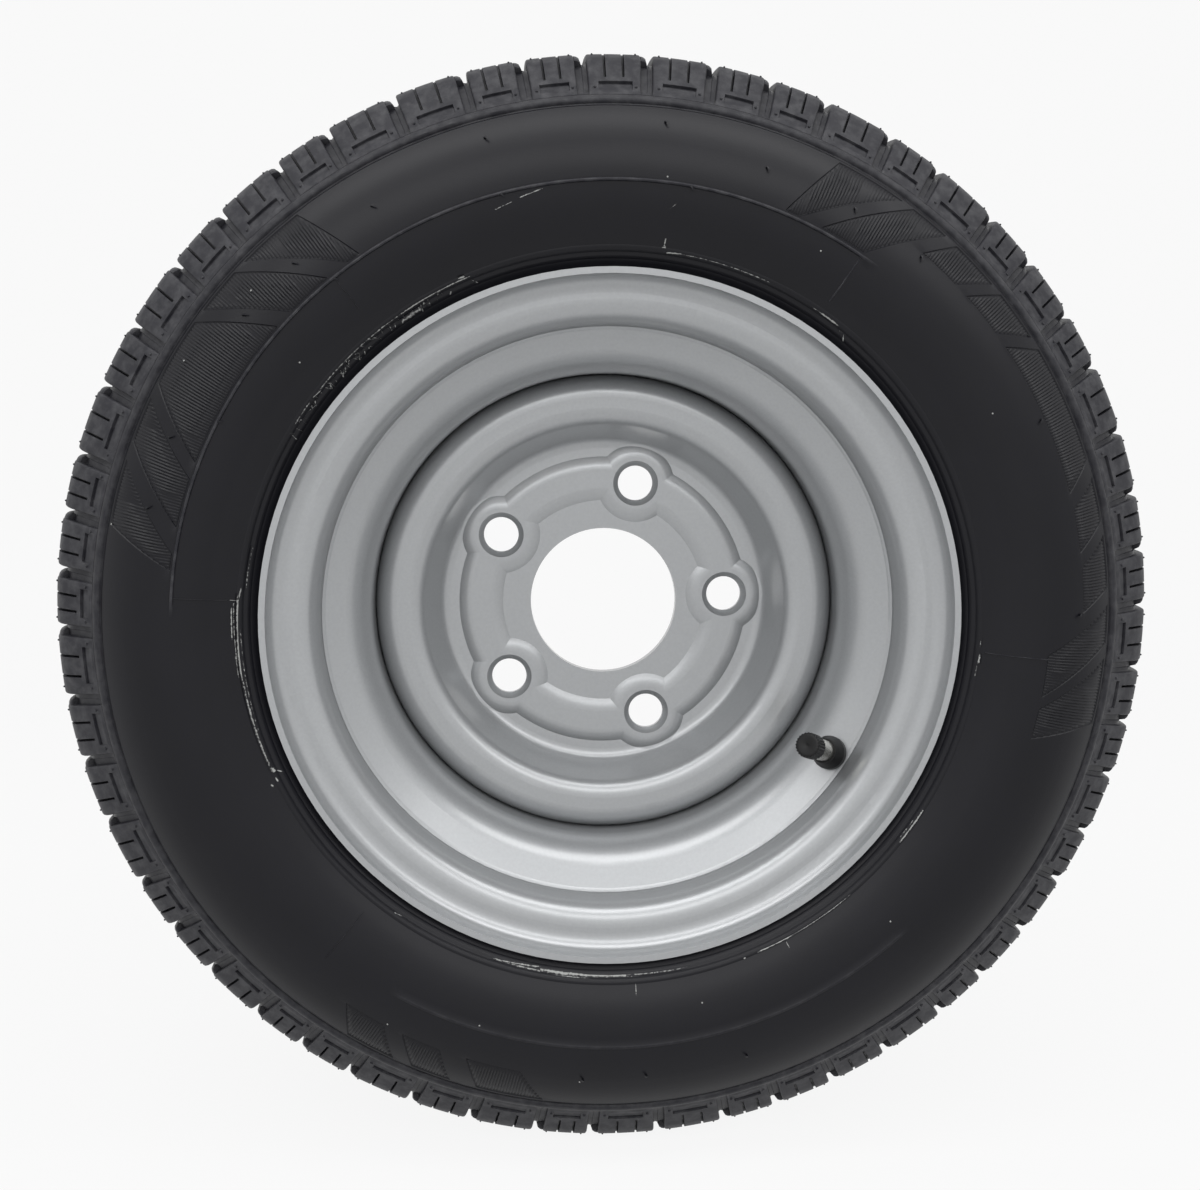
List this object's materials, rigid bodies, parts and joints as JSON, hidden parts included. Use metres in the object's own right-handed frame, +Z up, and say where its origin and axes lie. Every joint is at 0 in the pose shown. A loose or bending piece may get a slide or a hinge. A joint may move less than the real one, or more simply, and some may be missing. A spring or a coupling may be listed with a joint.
{
  "type": "wheel and tyre assembly",
  "caption": "Small trailer wheel: black radial tyre with block shoulders on a silver drop-centre steel rim, pressed solid disc with bolt holes, centre bore and rubber snap-in valve.",
  "frame": {"origin": "on the axle line, midway between the rim flanges, at the middle of the tyre", "axes": "+Y along the axle line towards the vehicle (inboard), -Y is the outboard face with the valve, +Z up"},
  "size_m": [0.4678, 0.201, 0.468],
  "materials": {
    "tyre_rubber": "moulded black rubber",
    "silver_paint": "satin silver paint",
    "valve_rubber": "moulded black rubber",
    "plated_brass": "nickel plated",
    "core_brass": "turned",
    "gasket_plastic": "moulded white",
    "spring_steel": "drawn wire",
    "cap_plastic": "moulded black, knurled"
  },
  "bodies": {
    "wheel": {"tyre": "tyre_rubber", "rim": "silver_paint", "wheel_disc": "silver_paint", "disc_welds": "silver_paint", "valve_body": "valve_rubber", "valve_stem": "plated_brass", "core_plug": "core_brass", "core_barrel": "core_brass", "barrel_gasket": "gasket_plastic", "core_spring": "spring_steel"},
    "pin": {"core_pin": "core_brass", "core_cup": "valve_rubber"},
    "seal": {"cap_seal": "valve_rubber"},
    "cap": {"valve_cap": "cap_plastic"}
  },
  "joints": [
    {"name": "pin_press", "type": "slide", "parent": "wheel", "child": "pin", "axis": [0.4817, 0.8204, -0.3081], "range_m": [0, 0.0015], "stiffness_N_per_m": 1500, "springref_m": -0.001, "deforming": ["core_spring"]},
    {"name": "cap_lift", "type": "slide", "parent": "wheel", "child": "seal", "axis": [-0.4817, -0.8204, 0.3081], "range_m": [0, 0.00794]},
    {"name": "cap_turn", "type": "hinge", "parent": "seal", "child": "cap", "pos_m": [0.09756, -0.05663, -0.06239], "axis": [-0.4817, -0.8204, 0.3081], "range_deg": [0, 3600]}
  ],
  "couplings": [
    {"joint": "cap_turn", "follows": "cap_lift", "rad_per_m": 7913.3}
  ]
}
